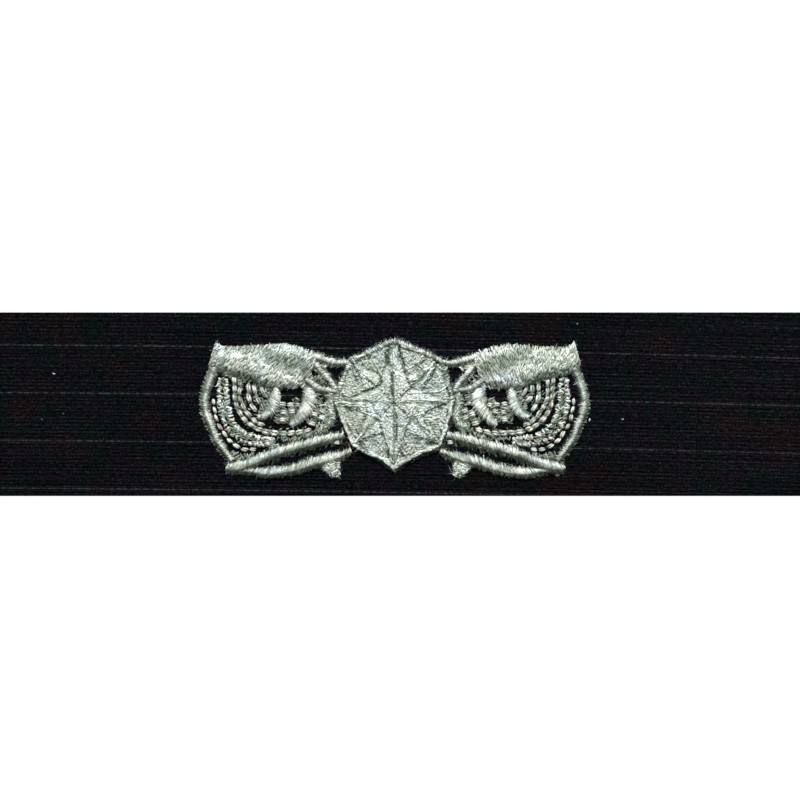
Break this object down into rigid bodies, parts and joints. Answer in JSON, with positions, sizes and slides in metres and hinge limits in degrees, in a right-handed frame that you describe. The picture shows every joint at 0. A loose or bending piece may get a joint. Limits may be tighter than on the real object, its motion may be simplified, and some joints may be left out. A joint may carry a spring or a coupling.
{
  "type": "embroidered qualification badge on a cloth strip",
  "caption": "Dark ribbed cloth strip with a silver-grey embroidered badge: a compass rose between two mirrored scroll wings, for sewing above a pocket.",
  "frame": {"origin": "middle of the strip's flat back", "axes": "+X along the strip to the picture's right, +Y up the strip, +Z out of its embroidered face"},
  "size_m": [0.1396, 0.0318, 0.0022],
  "materials": {
    "strip_cloth": "matte",
    "satin_thread": "sheen",
    "ground_thread": "sheen",
    "row_thread": "sheen"
  },
  "bodies": {
    "root": {"cloth_strip": "strip_cloth", "rose_field": "ground_thread", "rose_cord": "satin_thread", "rose_point_n": "satin_thread", "rose_point_ne": "satin_thread", "rose_point_e": "satin_thread", "rose_point_se": "satin_thread", "rose_point_s": "satin_thread", "rose_point_sw": "satin_thread", "rose_point_w": "satin_thread", "rose_point_nw": "satin_thread", "left_crest": "satin_thread", "left_crest_cord": "satin_thread", "left_crest_strut": "satin_thread", "left_crest_tail": "satin_thread", "left_outline_cord": "satin_thread", "left_dot_row": "row_thread", "left_zigzag_band": "row_thread", "left_double_row_outer": "row_thread", "left_double_row_inner": "row_thread", "left_short_row_outer": "row_thread", "left_short_row_middle": "row_thread", "left_short_row_inner": "row_thread", "left_scroll_inner": "satin_thread", "left_scroll_outer": "satin_thread", "left_scroll_web": "satin_thread", "left_bar_upper": "satin_thread", "left_bar_lower": "satin_thread", "left_tail_tab": "satin_thread", "right_crest": "satin_thread", "right_crest_cord": "satin_thread", "right_crest_strut": "satin_thread", "right_crest_tail": "satin_thread", "right_outline_cord": "satin_thread", "right_dot_row": "row_thread", "right_zigzag_band": "row_thread", "right_double_row_outer": "row_thread", "right_double_row_inner": "row_thread", "right_short_row_outer": "row_thread", "right_short_row_middle": "row_thread", "right_short_row_inner": "row_thread", "right_scroll_inner": "satin_thread", "right_scroll_outer": "satin_thread", "right_scroll_web": "satin_thread", "right_bar_upper": "satin_thread", "right_bar_lower": "satin_thread", "right_tail_tab": "satin_thread"}
  },
  "joints": []
}
